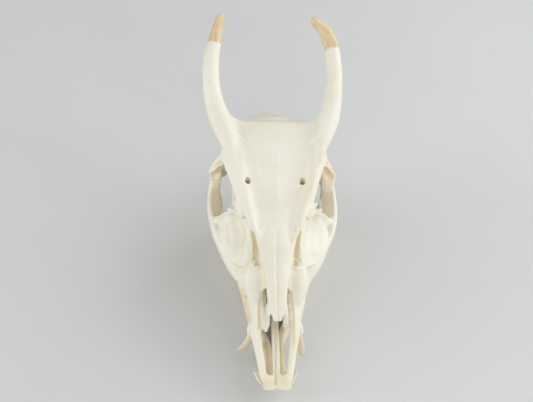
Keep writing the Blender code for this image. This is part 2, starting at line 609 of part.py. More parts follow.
def pedicle_region(side):
    rows = [(29, 134.6, 55.2), (30.8, 139, 57.4), (32.8, 148, 61.8), (33.5, 157, 65.5), (33.3, 165, 68.9),
            (31.6, 176, 74)]
    return rod_region(rows, 9, side)


def premaxilla_region(grow):
    return block((-20, -10, -10), (20, 31.8, 16), grow=grow)


def nasal_region(grow):
    return boxed([(24, -7.4, 7.4, 13.5, 24), (38, -6.4, 6.4, 18.4, 28), (47, -6.7, 6.7, 21.4, 30),
                  (54.5, -8, 8, 23.8, 33), (62, -9.2, 9.2, 26.6, 36), (68.5, -9, 9, 29, 39),
                  (74.5, -3, 3, 30.6, 41)], grow=grow)


def zygomatic_region(side):
    rows = [(64.5, 21, 30, 0, 16), (74, 23, 40, 2, 22), (84, 25.6, 40, 5, 25), (93, 26, 42, 8, 29),
            (104, 24, 42, 7, 31), (124, 24, 42, 6, 31)]
    return lambda grow: boxed(rows, side, grow)


def lacrimal_region(side):
    rows = [(61.5, 11.2, 20, 17, 34), (70, 12.4, 30, 17, 40), (82, 15.6, 36, 18, 44), (97, 21, 42, 20, 46)]
    return lambda grow: boxed(rows, side, grow)


def maxilla_region(grow):
    return block((-40, 18, -34), (40, 98, 22.6), turn=(-30, 0, 0), grow=grow)


def frontal_region(grow):
    """The sloping forehead and the upper halves of the bars behind the eyes."""
    plate = block((-50, 66.5, 40), (50, 136.5, 80), turn=(16.6, 0, 0), grow=grow)
    bars = [block((24.5 * s, 112, 29), (48 * s, 123, 60), grow=grow) for s in (1, -1)]
    fuse(plate, bars)
    return plate


def part_cranium(whole):
    """Every named bone of the cranium, cut apart along plain seams."""
    nodes = []
    for side in (1, -1):
        nodes.append(parted(whole, "antler_" + name_of(side), antler_region(side), ANTLER))
        nodes.append(parted(whole, "pedicle_" + name_of(side), pedicle_region(side), BONE))
        nodes.append(parted(whole, "zygomatic_" + name_of(side), zygomatic_region(side), FACE_BONE))
    snout_tip = parted(whole, "premaxilla", premaxilla_region, FACE_BONE)
    nodes += halved(snout_tip, "premaxilla", FACE_BONE)
    nasals = parted(whole, "nasal", nasal_region, FACE_BONE)
    nodes += halved(nasals, "nasal", FACE_BONE)
    for side in (1, -1):
        nodes.append(parted(whole, "lacrimal_" + name_of(side), lacrimal_region(side), FACE_BONE))
    upper_jaw = parted(whole, "maxilla", maxilla_region, FACE_BONE)
    nodes += halved(upper_jaw, "maxilla", FACE_BONE)
    nodes.append(parted(whole, "frontal", frontal_region, BONE))
    whole.name = "braincase"
    dress(whole, BONE)
    return nodes + [whole]


def settle(nodes):
    """Tips the skull onto its lower jaw, wears the jaw's flats and centres it on the origin."""
    tip = Matrix.Rotation(math.radians(REST_TILT), 4, "X")
    for node in nodes:
        node.data.transform(tip)
    floor = min(v.co.z for node in nodes for v in node.data.vertices) + FLAT_DEPTH * MM
    spots = np.array([v.co for node in nodes for v in node.data.vertices])
    middle = (spots.min(axis=0) + spots.max(axis=0)) / 2
    shift = Matrix.Translation((-middle[0], -middle[1], -floor))
    for node in nodes:
        node.data.transform(shift)
        if node.name.startswith("mandible"):
            ground = block((-FAR, -FAR, -FAR), (FAR, FAR, 0))
            carve(node, [ground])
            largest_only(node)
    return shift @ tip


def main():
    clear_scene()
    cranium = make_cranium()
    thin_out(cranium, CRANIUM_TRIANGLES)
    nodes = part_cranium(cranium)
    by_name = {node.name: node for node in nodes}
    for side in (1, -1):
        maxilla = by_name["maxilla_" + name_of(side)]
        fuse(maxilla, upper_teeth(side))
        carve(maxilla, [tusk(side, KERF)])
        largest_only(maxilla)
        dress(maxilla, FACE_BONE)
        fang = tusk(side)
        fang.name = "tusk_" + name_of(side)
        dress(fang, TUSK_IVORY)
        jaw = make_jaw(side)
        fuse(jaw, lower_teeth(side) + front_teeth(side))
        largest_only(jaw)
        dress(jaw, JAW_BONE)
        nodes += [fang, jaw]
    return settle(nodes)


if __name__ == "__main__":
    main()
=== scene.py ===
"""The finished looks of a young muntjac buck's skull: cleaned bone, first antlers, teeth and tusks."""
import math

import bpy
import numpy as np
from mathutils import Euler, Matrix, Vector
from mathutils.bvhtree import BVHTree


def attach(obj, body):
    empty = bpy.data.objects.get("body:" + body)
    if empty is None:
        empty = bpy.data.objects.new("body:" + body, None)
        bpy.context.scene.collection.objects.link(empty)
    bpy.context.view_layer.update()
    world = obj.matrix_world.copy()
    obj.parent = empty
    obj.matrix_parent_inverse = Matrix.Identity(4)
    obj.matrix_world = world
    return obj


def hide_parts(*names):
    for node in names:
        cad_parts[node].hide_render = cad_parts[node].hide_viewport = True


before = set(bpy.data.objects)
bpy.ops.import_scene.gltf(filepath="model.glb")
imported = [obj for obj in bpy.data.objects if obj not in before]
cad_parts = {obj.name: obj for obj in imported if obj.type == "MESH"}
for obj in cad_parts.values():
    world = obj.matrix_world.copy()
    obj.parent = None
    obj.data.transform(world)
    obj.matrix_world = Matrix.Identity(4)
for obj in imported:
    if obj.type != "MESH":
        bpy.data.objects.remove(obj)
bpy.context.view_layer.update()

# The cranium as one body
# The bones of the head are grown together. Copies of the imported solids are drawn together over
# their thin seams, rounded, and given one fine skin that holes and ridges are worked into.

MM = 0.001
palate_front = Vector((0.66, -91.17, 15.16)) * MM
nose_down = Matrix.Rotation(math.radians(5.5), 4, "X")
skull_place = Matrix.Translation(palate_front) @ nose_down
seam_reach = 0.45 * MM
past_the_middle = 0.55
same_point = 0.001 * MM
skin_grid = 0.46 * MM
sides = {"left": 1, "right": -1}


def pick(*pieces):
    """Selects these pieces alone and makes the first one active."""
    bpy.ops.object.select_all(action="DESELECT")
    for piece in pieces:
        piece.select_set(True)
    bpy.context.view_layer.objects.active = pieces[0]


def finish_with(piece, kind, **settings):
    """Adds one modifier to the piece and applies it. It stays out of view until it is set up."""
    pick(piece)
    bpy.ops.object.modifier_add(type=kind)
    modifier = piece.modifiers[-1]
    modifier.show_viewport = False
    for name, value in settings.items():
        setattr(modifier, name, value)
    bpy.ops.object.modifier_apply(modifier=modifier.name)


def copy_of(node):
    """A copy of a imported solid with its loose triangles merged."""
    copy = bpy.data.objects.new(node + "_copy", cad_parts[node].data.copy())
    bpy.context.scene.collection.objects.link(copy)
    copy.data.materials.clear()
    pick(copy)
    bpy.ops.mesh.customdata_custom_splitnormals_clear()
    bpy.ops.object.mode_set(mode="EDIT")
    bpy.ops.mesh.select_all(action="SELECT")
    bpy.ops.mesh.remove_doubles(threshold=0.01 * MM)
    bpy.ops.object.mode_set(mode="OBJECT")
    return copy


def draw_together(copies):
    """Moves neighbours into each other over their thin seams, and creases the faces there."""
    graph = bpy.context.evaluated_depsgraph_get()
    trees = {copy.name: BVHTree.FromObject(copy, graph) for copy in copies}
    for copy in copies:
        others = [tree for name, tree in trees.items() if name != copy.name]
        held = np.zeros(len(copy.data.vertices), bool)
        for vertex in copy.data.vertices:
            hits = [tree.find_nearest(vertex.co, seam_reach) for tree in others]
            hits = [hit for hit in hits if hit[0] is not None]
            if hits:
                near = min(hits, key=lambda hit: hit[3])[0]
                vertex.co = vertex.co.lerp(near, past_the_middle)
                held[vertex.index] = True
        crease = copy.data.attributes.new("crease_edge", "FLOAT", "EDGE")
        ends = np.array([edge.vertices[:] for edge in copy.data.edges])
        crease.data.foreach_set("value", (held[ends[:, 0]] & held[ends[:, 1]]).astype(np.float32))


def joined(pieces, name):
    """The pieces in one object, which keeps the first one's place in the list."""
    pick(*pieces)
    bpy.ops.object.join()
    pieces[0].name = name
    return pieces[0]


def close_up(piece):
    """Merges doubled points, fills open ends and turns the faces outwards."""
    pick(piece)
    bpy.ops.object.mode_set(mode="EDIT")
    bpy.ops.mesh.select_all(action="SELECT")
    bpy.ops.mesh.remove_doubles(threshold=same_point)
    bpy.ops.mesh.fill_holes(sides=0)
    bpy.ops.mesh.normals_make_consistent(inside=False)
    bpy.ops.object.mode_set(mode="OBJECT")


def slab(low, high, turn=0.0):
    """A block between two corners in the skull's own frame, leaning back by turn degrees."""
    low, high = Vector(low), Vector(high)
    bpy.ops.object.select_all(action="DESELECT")
    bpy.ops.mesh.primitive_cube_add(size=1)
    block = bpy.context.object
    lean = Matrix.Rotation(math.radians(turn), 4, "X")
    block.data.transform(skull_place @ Matrix.Translation((low + high) / 2 * MM) @ lean
                         @ Matrix.Diagonal((*((high - low) * MM), 1)))
    return block


def bead(x, y, z, radii, side=1, turn=(0, 0, 0)):
    """A round or drawn-out lump, turned by degrees about X, then Y, then Z."""
    bpy.ops.object.select_all(action="DESELECT")
    bpy.ops.mesh.primitive_uv_sphere_add(segments=24, ring_count=14, radius=1)
    lump = bpy.context.object
    angles = Euler((math.radians(turn[0]), math.radians(turn[1] * side), math.radians(turn[2] * side)))
    lump.data.transform(skull_place @ Matrix.Translation(Vector((x * side, y, z)) * MM)
                        @ angles.to_matrix().to_4x4() @ Matrix.Diagonal((*(Vector(radii) * MM), 1)))
    return lump


def wire(*points, side=1):
    """A rod bent through points (x, y, z, radius), with its ends closed."""
    curve = bpy.data.curves.new("wire", "CURVE")
    curve.dimensions, curve.use_fill_caps = "3D", True
    curve.bevel_depth, curve.bevel_resolution, curve.resolution_u = MM, 2, 6
    spline = curve.splines.new("BEZIER")
    spline.bezier_points.add(len(points) - 1)
    for knot, (x, y, z, radius) in zip(spline.bezier_points, points):
        knot.co, knot.radius = Vector((x * side, y, z)) * MM, radius
        knot.handle_left_type = knot.handle_right_type = "AUTO"
    rod = bpy.data.objects.new("wire", curve)
    bpy.context.scene.collection.objects.link(rod)
    pick(rod)
    bpy.ops.object.convert(target="MESH")
    rod = bpy.context.object
    rod.data.transform(skull_place)
    close_up(rod)
    return rod


def places(piece):
    """The piece's vertices in the skull's own frame, in millimetres."""
    spots = np.empty(len(piece.data.vertices) * 3, np.float32)
    piece.data.vertices.foreach_get("co", spots)
    back = np.array(skull_place.inverted())
    return (spots.reshape(-1, 3) @ back[:3, :3].T + back[:3, 3]) / MM


def put_places(piece, spots):
    """Moves the piece's vertices to these places in the skull's own frame."""
    there = np.array(skull_place)
    moved = (spots * MM) @ there[:3, :3].T + there[:3, 3]
    piece.data.vertices.foreach_set("co", moved.astype(np.float32).ravel())
    piece.data.update()


def nearness(spots, path, reach):
    """Which spots lie within reach of a path, and how near, from 1 on it to 0 at its reach."""
    path = np.array(path, float)
    low, high = path.min(axis=0) - reach, path.max(axis=0) + reach
    inside = np.flatnonzero(((spots > low) & (spots < high)).all(axis=1))
    close = spots[inside]
    gap = np.linalg.norm(close - path[0], axis=1)
    for start, end in zip(path, path[1:]):
        along = end - start
        share = np.clip((close - start) @ along / (along @ along), 0, 1)
        gap = np.minimum(gap, np.linalg.norm(close - start - share[:, None] * along, axis=1))
    return inside, np.clip(1 - (gap / reach) ** 2, 0, None) ** 2


def both_ways(strokes):
    """Each stroke (path, reach, strength, sides) on every side of the head that it names."""
    for path, reach, strength, *only in strokes:
        for side in only or (1, -1):
            yield [(x * side, y, z) for x, y, z in path], reach, strength


def sculpt(piece, strokes):
    """Raises or sinks the skin along its own normals, near each stroke's path."""
    spots = places(piece)
    normals = np.empty(spots.size, np.float32)
    piece.data.vertex_normals.foreach_get("vector", normals)
    normals = normals.reshape(-1, 3) @ np.array(skull_place.to_3x3())
    lift = np.zeros(len(spots))
    for path, reach, height in both_ways(strokes):
        inside, near = nearness(spots, path, reach)
        lift[inside] += near * height
    put_places(piece, spots + normals * lift[:, None])


def soften(piece, strokes, passes):
    """Rounds the skin off near each stroke's path."""
    spots = places(piece)
    share = np.zeros(len(spots))
    for path, reach, strength in both_ways(strokes):
        inside, near = nearness(spots, path, reach)
        share[inside] = np.maximum(share[inside], np.minimum(near * strength, 1))
    group = piece.vertex_groups.new(name="soft")
    for tenth in range(1, 11):
        group.add(np.flatnonzero(np.ceil(share * 10) == tenth).tolist(), tenth / 10, "REPLACE")
    finish_with(piece, "SMOOTH", factor=0.5, iterations=passes, vertex_group="soft")
    piece.vertex_groups.clear()


def roughen(piece, size, depth):
    """Uneven swellings of a size and depth, in millimetres, as grown bone has."""
    clouds = bpy.data.textures.new("swellings", "CLOUDS")
    clouds.noise_scale = size * MM
    finish_with(piece, "DISPLACE", texture=clouds, texture_coords="LOCAL", strength=depth * MM, mid_level=0.5)


def new_skin(piece, rounds):
    """One fine skin round all that the piece is joined from, smoothed so many times."""
    finish_with(piece, "REMESH", mode="VOXEL", voxel_size=skin_grid)
    finish_with(piece, "SMOOTH", factor=0.5, iterations=rounds)


# The cheek teeth of the solids come off at the gum, because finer ones are made further down.
gum_level = -0.2
head_bones = ["braincase", "frontal"] + [bone + "_" + side for side in sides for bone in (
    "pedicle", "antler", "zygomatic", "lacrimal", "nasal", "maxilla", "premaxilla")]
copies = [copy_of(node) for node in head_bones]
draw_together(copies)
for copy in copies:
    if copy.name.startswith("maxilla"):
        pick(copy)
        bpy.ops.object.mode_set(mode="EDIT")
        bpy.ops.mesh.select_all(action="SELECT")
        bpy.ops.mesh.bisect(plane_co=skull_place @ Vector((0, 0, gum_level * MM)),
                            plane_no=nose_down.to_3x3() @ Vector((0, 0, 1)), use_fill=True, clear_inner=True)
        bpy.ops.object.mode_set(mode="OBJECT")
    finish_with(copy, "SUBSURF", levels=2, render_levels=2)
cranium = joined(copies, "cranium")
new_skin(cranium, rounds=8)
pit_lip = [(26, 89, 27), (25.4, 82, 24), (25, 75, 21), (23.5, 69, 18), (20.5, 64.5, 18.5), (17.5, 61, 20)]
soften(cranium, [(pit_lip, 4.2, 1.8)], passes=40)

holes = []
for side in sides.values():
    holes += [
        bead(14.5, 101.4, 43, (1.2, 1.85, 4), side, (12, 0, 0)),             # over the eye
        wire((11.9, 75.4, 35.4, 0.5), (11.3, 71.2, 32.6, 0.9), (10.5, 67, 30, 1.35),
             (10.7, 62.8, 28.2, 1.4), (11.8, 58.8, 27.6, 0.9), side=side),   # beside the nasals
        bead(18, 81, 25.6, (0.5, 0.5, 2.4), side, (0, 40, 0)),               # pinhole in the pit
        bead(16.5, 48.5, 9.6, (1.9, 2.1, 1.6), side, (0, 0, 20)),            # nerve hole of the cheek
        bead(3, 28.6, 21, (0.75, 3.6, 4), side, (0, 0, -6)),                 # notch in the nasal's tip
        wire((21.7, 66.4, 18.4, 0.2), (20.4, 64.4, 18.9, 0.45), (18.5, 62.5, 20, 0.5),
             (16.6, 61.6, 21, 0.3), side=side),                              # slit below the pit
    ]
holes.append(bead(0, -0.9, 0.6, (0.6, 1.3, 3)))                              # notch in the snout's end
for hole in holes:
    finish_with(cranium, "BOOLEAN", operation="DIFFERENCE", solver="MANIFOLD", object=hole)
    bpy.data.objects.remove(hole)

fine_parts = [cranium]
for side in sides.values():
    fine_parts += [
        wire((16.6, 83.6, 34, 1.2), (19.6, 86, 34.5, 1.25), (22, 87.6, 34.5, 1.05),
             (23.8, 88.8, 34.5, 1.25), (24.8, 89.4, 34.5, 0.8), side=side),  # knobs on the eye's rim
        wire((16.4, 84.6, 35.4, 1.15), (19, 87.6, 36.4, 1.1), (20.9, 90, 37, 1),
             (21.6, 91, 37.2, 1.05), (22, 91.5, 37.2, 0.6), side=side),
        wire((29.4, 92.4, 21.6, 0.7), (28.6, 90.4, 25, 0.6), (27.4, 89.9, 27.6, 1),
             (25.6, 89.6, 30, 0.7), (23.8, 88.8, 31.4, 1.1), (21.6, 87.8, 32.6, 0.8),
             side=side),                                                     # rim before the eye
        wire((14.6, 77.6, 35.2, 0.3), (13.5, 74.6, 34, 0.5), (12.7, 70.4, 32, 0.6),
             (12.6, 66.4, 29.7, 0.65), (12.9, 62.6, 28.4, 0.65), (13.8, 58.6, 27.4, 0.5),
             side=side),                                                     # thin rim of the slot
        wire((15, 57.2, 25.2, 0.6), (13, 56.4, 26.5, 0.9), (10.6, 56.2, 27.2, 0.9),
             (8.4, 56.4, 28, 0.6), side=side),                               # bridge to the nasal
        wire((15.6, 59, 24.6, 0.4), (13.6, 58.4, 26.4, 0.8), (11.2, 60.4, 27.2, 0.6),
             (9.6, 62.6, 28, 0.3), side=side),                               # fold above the bridge
        wire((11.2, 73, 29.4, 1), (10.6, 68, 27, 1.6), (10.7, 63, 25, 1.7), (11.6, 58.6, 24.6, 1.3),
             side=side),                                                     # floor of the slot
        wire((4.1, 39, 22.6, 0.9), (4.5, 34.6, 21.6, 0.95), (4.5, 31.6, 20.8, 0.8),
             (4.3, 30.4, 20.4, 0.4), side=side),                             # the nasal's outer prong
        wire((27.8, 113, 15.6, 0.3), (27, 109, 15, 0.8), (26.9, 106, 14.9, 0.35), (26.8, 103, 15, 0.75),
             (27.2, 99.4, 15.6, 0.3), side=side),                            # ragged edge of the arch
        bead(3.3, 2.4, 0.9, (4.2, 2.8, 0.9), side, (0, 0, -12)),             # round front of the snout
        wire((1.2, 8, 1.6, 0.9), (1.15, 20, 3, 1.05), (1.1, 29, 4.6, 1.05), (1, 36, 6.6, 1),
             (0.9, 46, 9.4, 0.9), side=side),                                # bars between the fissures
        bead(12.3, 35.6, 5.2, (1.9, 6, 3), side, (0, 0, 14)),                # rim of the tusk's socket
    ]
fine_parts += [
    wire((-7.4, 42, 17.4, 1), (-7, 37.4, 14, 1.5), (-6.4, 33, 10.6, 1.5), (-5.2, 30.6, 8.6, 1.3),
         (-4.6, 30, 8, 0.6)),                                                # scrolls in the nose: four
    wire((-4.6, 41, 17, 0.9), (-4.2, 36.4, 13.8, 1.1), (-4.2, 33, 10.6, 1.1), (-4.4, 31.6, 9.2, 0.8)),
    wire((6.2, 46, 19.4, 0.5), (7.3, 42, 17.4, 0.6), (7.9, 37.6, 13.9, 0.6), (7.6, 34.4, 11, 0.6),
         (6.4, 32.2, 8.9, 0.6), (4.9, 31.5, 8.2, 0.6)),
    wire((4.3, 40, 16, 0.9), (4.4, 36, 12.6, 0.95), (4.6, 33, 9.8, 0.9), (4.9, 31.8, 8.6, 0.6)),
    bead(-19.4, 60.4, 11.8, (1.1, 1.7, 1.5)),                                # bump where the cheek begins
    wire((-29.6, 183.7, 76.3, 1.5), (-29.3, 186.3, 78.4, 1.7), (-29.1, 188.2, 79.6, 1.5),
         (-29.1, 189, 80.1, 0.9)),                                           # blunt tip of the right antler
    wire((-29.2, 179.6, 74, 1.3), (-28.5, 183.6, 76.2, 1.7), (-28, 186.4, 78.2, 1.6),
         (-28, 187.4, 78.8, 0.9)),
    wire((29.4, 170, 70.6, 0.8), (28.4, 173.6, 72, 1.2), (27.1, 177.6, 74.2, 1.6),
         (25.4, 181.4, 76.6, 1.8), (23.5, 182.8, 78.2, 1.9), (21.7, 184, 80, 2),
         (20.9, 184.8, 80.8, 1.8), (20.4, 185.2, 81.2, 1.1)),                # hook of the left antler
]
cranium = joined(fine_parts, "cranium")
new_skin(cranium, rounds=3)
bar_sides = [(1.9, 8, 2), (1.9, 20, 3.4), (1.8, 31, 5), (1.6, 40, 8)]
soften(cranium, [(bar_sides, 1.8, 1.6)], passes=14)
roughen(cranium, size=16, depth=0.35)
roughen(cranium, size=5, depth=0.09)
crest_groove = [(20.6, 118.5, 50.5), (19.4, 110, 47), (17.8, 102, 44.4), (15.6, 93.5, 42.4), (13.8, 86, 40.6),
                (12.4, 80, 39), (11, 75, 37.4)]
bar_suture = [(32.6, 115.2, 26.4), (30.2, 114.9, 26.6), (27.6, 115.6, 26.4)]
left_nose_wall = [(7, 46, 20), (7.5, 42.5, 18.5), (8.5, 39, 16), (9, 35, 13.5), (8.5, 29.5, 10.5),
                  (8, 25.5, 8)]
right_nose_wall = [(7, 46, 20), (8, 42.5, 18), (8.5, 38.5, 15.5), (8.5, 34, 13), (8.5, 30.5, 10.5),
                   (7.5, 28, 9)]
# Each stroke has its path, its reach and how far it rises or sinks, and its side if it has one.
sculpt(cranium, [
    # the crests from the stalks to the nose, and the forehead between and beside them
    ([(25.6, 117, 50), (23, 107.5, 45.5), (19, 97, 43), (15.8, 87.5, 40.8), (13.4, 79.5, 38.6),
      (11.4, 73, 35.8)], 2.4, 0.8),
    ([(24.6, 112, 48), (20, 99, 43.8), (16.4, 89, 41.2), (13.8, 81, 39)], 6, 0.9),
    ([(11.5, 112, 48), (9, 100, 43.8), (6.4, 88, 40.4), (5, 78, 37.6)], 8, -0.7),
    ([(28, 115.5, 46.6), (25.6, 107, 43), (21.8, 97.5, 41), (18.2, 88.5, 39)], 2, -0.5),
    (crest_groove, 3.3, -1.3, 1),
    ([(20.6, 118, 50.5), (18.8, 107, 46), (15.6, 97, 43.6), (13, 88, 41.4), (11.6, 81, 39.5),
      (10.4, 75, 37.4)], 3.2, -0.4, -1),
    ([(0.9, 92, 41.2), (1, 104, 44.6), (1.1, 116, 48.6)], 1.5, 0.25, 1),
    ([(-8.5, 114, 48), (-5.4, 101.4, 43.6), (-2.9, 96.4, 42.3), (-1, 92, 41.3)], 3, -0.3, 1),
    ([(14.6, 104, 43.8), (13.2, 103, 43.2), (12.8, 101.4, 42.8)], 0.9, 0.2),
    # the root of the nose, the sides of the nasals and the seam between them
    ([(9, 84, 39), (7.4, 76, 36.8), (7.8, 69, 34.6)], 4.2, -0.85, 1),
    ([(-5.3, 75, 36.6), (-6.9, 70.8, 35.1)], 1.6, -0.35, 1),
    ([(7.6, 60, 30), (6.6, 52, 27), (6, 44, 23.6), (5.2, 36, 20.6)], 1.8, -0.3),
    ([(0.1, 27, 20), (-0.2, 40, 24.8), (0, 52, 28.8), (0.2, 66, 33.9), (0.3, 74, 36.4)], 1, -0.35, 1),
    # the groove between the bars of the snout, and the valleys along the nose's walls
    ([(-0.9, 3, 1.6), (-0.6, 13, 3), (-0.2, 25, 4.6), (0, 34, 7), (0.1, 45, 10)], 1, -0.9, 1),
    (left_nose_wall, 1.3, -0.8, 1),
    (right_nose_wall, 1.3, -0.8, -1),
    # the bar behind the eye: its crest, the hollow below it and its suture
    ([(31.9, 115.9, 33.2), (29.6, 115.9, 36.6), (27.1, 115.6, 39.7)], 1.3, 0.95),
    ([(31.2, 115.3, 29.6), (29.6, 115.4, 33), (27.4, 115.6, 36.4)], 2.8, -1.5),
    (bar_suture, 0.8, -0.35),
    # the outer edge of the pit before the eye, and the pit
    ([(25.4, 86, 26), (25.3, 78, 22.6), (24.8, 71, 18.6)], 1.4, 0.35),
    ([(20.4, 84.4, 29.6), (18, 77.5, 28), (18, 70, 25.4), (20, 66.4, 22)], 4.6, -1.4),
    # low ridges that fan out where the stalks rise
    ([(26, 127, 57), (22, 124, 53.5), (17, 122, 51)], 1.3, 0.25),
    ([(21, 130, 54), (17.5, 127, 52.4), (13.6, 123, 50.6)], 1.3, 0.25),
])

# The bones of the cranium
# Each bone is taken off along its suture, so that it can be handled by itself. Neighbours share
# the same cut. Boiled and bleached bone is ivory white and satin, with cream and tan left in the
# hollows. The tan and brown in the hollows are partly stain and partly painted shade, and the
# rosy on the insides of the cheek arches is partly painted glow.


def rows_to_block(rows, side=1):
    """A closed body with a rectangular section, through rows of y, x range and z range."""
    bpy.ops.object.select_all(action="DESELECT")
    bpy.ops.mesh.primitive_grid_add(x_subdivisions=4, y_subdivisions=len(rows) - 1, size=1)
    block = bpy.context.object
    for vertex in block.data.vertices:
        corner = round((vertex.co.x + 0.5) * 4) % 4
        y, x0, x1, z0, z1 = rows[round((vertex.co.y + 0.5) * (len(rows) - 1))]
        x, z = ((x0, z0), (x1, z0), (x1, z1), (x0, z1))[corner]
        vertex.co = skull_place @ (Vector((x * side, y, z)) * MM)
    close_up(block)
    return block


def parted(whole, region, name, waves=0.8):
    """Takes the bone inside a region off the whole. Both are cut by the same wavy surface."""
    finish_with(region, "SUBSURF", subdivision_type="SIMPLE", levels=5, render_levels=5)
    roughen(region, size=5, depth=waves)
    bone = whole.copy()
    bone.data = whole.data.copy()
    bone.name = name
    bpy.context.scene.collection.objects.link(bone)
    finish_with(bone, "BOOLEAN", operation="INTERSECT", solver="MANIFOLD", object=region)
    finish_with(whole, "BOOLEAN", operation="DIFFERENCE", solver="MANIFOLD", object=region)
    bpy.data.objects.remove(region)
    return bone


antlers, bones = {}, {}
antler_seams = {"left": 168.2, "right": 170}
stalk = [(134.6, 18, 46, 50.5, 90), (175, 18, 46, 54, 90)]
cheekbone = [(64.5, 21, 30, 0, 16), (74, 23, 40, 2, 22), (84, 25.6, 40, 5, 25), (93, 26, 42, 8, 29),
             (104, 24, 42, 7, 31), (124, 24, 42, 6, 31)]
for side_name, side in sides.items():
    beam = [(antler_seams[side_name], 24, 42, 60, 90), (180, 10, 42, 60, 90), (200, 10, 42, 60, 90)]
    antlers[side_name] = parted(cranium, rows_to_block(beam, side), "antler_%s_beam" % side_name)
    bones["pedicle_" + side_name] = parted(cranium, rows_to_block(stalk, side),
                                           "pedicle_%s_bone" % side_name, waves=0.1)
    bones["zygomatic_" + side_name] = parted(cranium, rows_to_block(cheekbone, side),
                                             "zygomatic_%s_bone" % side_name)


def halved(piece, bone):
    """The left and right bones of a pair that meets on the midline."""
    left_half = slab((0, -200, -200), (200, 200, 200))
    bones[bone + "_left"] = parted(piece, left_half, bone + "_left_bone", waves=0.3)
    piece.name = bone + "_right_bone"
    bones[bone + "_right"] = piece


snout_tip = parted(cranium, rows_to_block([(-10, -20, 20, -10, 16), (31.8, -20, 20, -10, 16)]), "snout_tip")
halved(snout_tip, "premaxilla")
nose_roof = [(24, -7.4, 7.4, 13.5, 24), (38, -6.4, 6.4, 18.4, 28), (47, -6.7, 6.7, 21.4, 30),
             (54.5, -8, 8, 23.8, 33), (62, -9.2, 9.2, 26.6, 36), (68.5, -9, 9, 29, 39),
             (74.5, -3, 3, 30.6, 41)]
halved(parted(cranium, rows_to_block(nose_roof), "nose_roof", waves=0.3), "nasal")
tear_bone = [(61.5, 11.2, 20, 17, 34), (70, 12.4, 30, 17, 40), (82, 15.6, 36, 18, 44),
             (97, 21, 42, 20, 46)]
for side_name, side in sides.items():
    bones["lacrimal_" + side_name] = parted(cranium, rows_to_block(tear_bone, side),
                                            "lacrimal_%s_bone" % side_name)
halved(parted(cranium, slab((-40, 18, -34), (40, 98, 22.6), -30), "upper_jaw"), "maxilla")
bones["frontal"] = parted(cranium, slab((-50, 66.5, 40), (50, 136.5, 80), 16.6), "frontal_bone")
eye_bar = [(112, 24.5, 48, 29, 60), (123, 24.5, 48, 29, 60)]
for side in sides.values():
    bar = parted(cranium, rows_to_block(eye_bar, side), "eye_bar")
    bones["frontal"] = joined([bones["frontal"], bar], "frontal_bone")
cranium.name = "braincase_bone"
bones["braincase"] = cranium


class Tint:
    """A value or colour in a material's nodes, which plain arithmetic carries on."""

    def __init__(self, tree, socket):
        self.tree, self.socket = tree, socket

    def node(self, kind, settings, inputs, output=0):
        """One node of a kind: its settings first, then the values or links of its sockets."""
        made = self.tree.nodes.new(kind)
        for name, value in settings.items():
            setattr(made, name, value)
        for name, value in inputs.items():
            if isinstance(value, Tint):
                self.tree.links.new(value.socket, made.inputs[name])
            else:
                made.inputs[name].default_value = value
        return Tint(self.tree, made.outputs[output])

    def maths(self, operation, other):
        """This value and another one, put together by one operation."""
        return self.node("ShaderNodeMath", {"operation": operation}, {0: self, 1: other})

    def __add__(self, other):
        return self.maths("ADD", other)

    def __sub__(self, other):
        return self.maths("SUBTRACT", other)

    def __mul__(self, other):
        return self.maths("MULTIPLY", other)

    def __rsub__(self, other):
        return self.node("ShaderNodeMath", {"operation": "SUBTRACT"}, {0: other, 1: self})

    __radd__, __rmul__ = __add__, __mul__

    def step(self, low, high):
        """0 below low, 1 above high and a soft rise between."""
        return self.node("ShaderNodeMapRange", {"interpolation_type": "SMOOTHSTEP"},
                         {"Value": self, "From Min": low, "From Max": high})

    def noise(self, size, detail, rough=0.5):
        """Cloudy noise of a size in millimetres, on this vector."""
        return self.node("ShaderNodeTexNoise", {"noise_dimensions": "3D"},
                         {"Vector": self, "Scale": 1000 / size, "Detail": detail, "Roughness": rough})

    def drawn(self, x, y, z):
        """This vector, with each of its axes made so many times denser."""
        return self.node("ShaderNodeVectorMath", {"operation": "MULTIPLY"}, {0: self, 1: (x, y, z)})

    def tinted(self, colour, share):
        """This colour, moved towards another one by a share."""
        return self.node("ShaderNodeMix", {"data_type": "RGBA"}, {0: share, 6: self, 7: (*colour, 1)}, 2)


def new_material(name):
    """A bare material: itself, its shader, and its object coordinates to build on."""
    material = bpy.data.materials.new(name)
    material.use_nodes = True
    tree = material.node_tree
    shader = tree.nodes["Principled BSDF"]
    spread = tree.nodes.new("ShaderNodeTexCoord")
    return material, shader, Tint(tree, spread.outputs["Object"])


def plain(place, colour):
    """One plain colour, to be tinted by others."""
    even = place.node("ShaderNodeRGB", {}, {})
    even.socket.default_value = (*colour, 1)
    return even


def attribute(place, name, output="Fac"):
    """What was kept under this name at each spot of the mesh."""
    return place.node("ShaderNodeAttribute", {"attribute_name": name}, {}, output)


def feed(shader, **sockets):
    """Links or sets the shader's sockets. An underscore stands for a space in their names."""
    for name, value in sockets.items():
        socket = shader.inputs[name.replace("_", " ")]
        if isinstance(value, Tint):
            value.tree.links.new(value.socket, socket)
        else:
            socket.default_value = value


def bump(place, height, depth):
    """A surface whose height is lifted by up to a depth in millimetres."""
    return place.node("ShaderNodeBump", {}, {"Strength": 1.0, "Distance": depth * MM, "Height": height})


# Tan and brown: stain in the hollows, and painted shade there. Rosy: the thin bone's pink, and painted glow.
tan_stain_and_shade, brown_stain_and_shade, rosy_and_glow_tint = (0.76, 0.62, 0.36), (0.40, 0.26, 0.12), (0.94, 0.79, 0.60)
pore_grey, pore_spacing = (0.55, 0.47, 0.34), 0.9


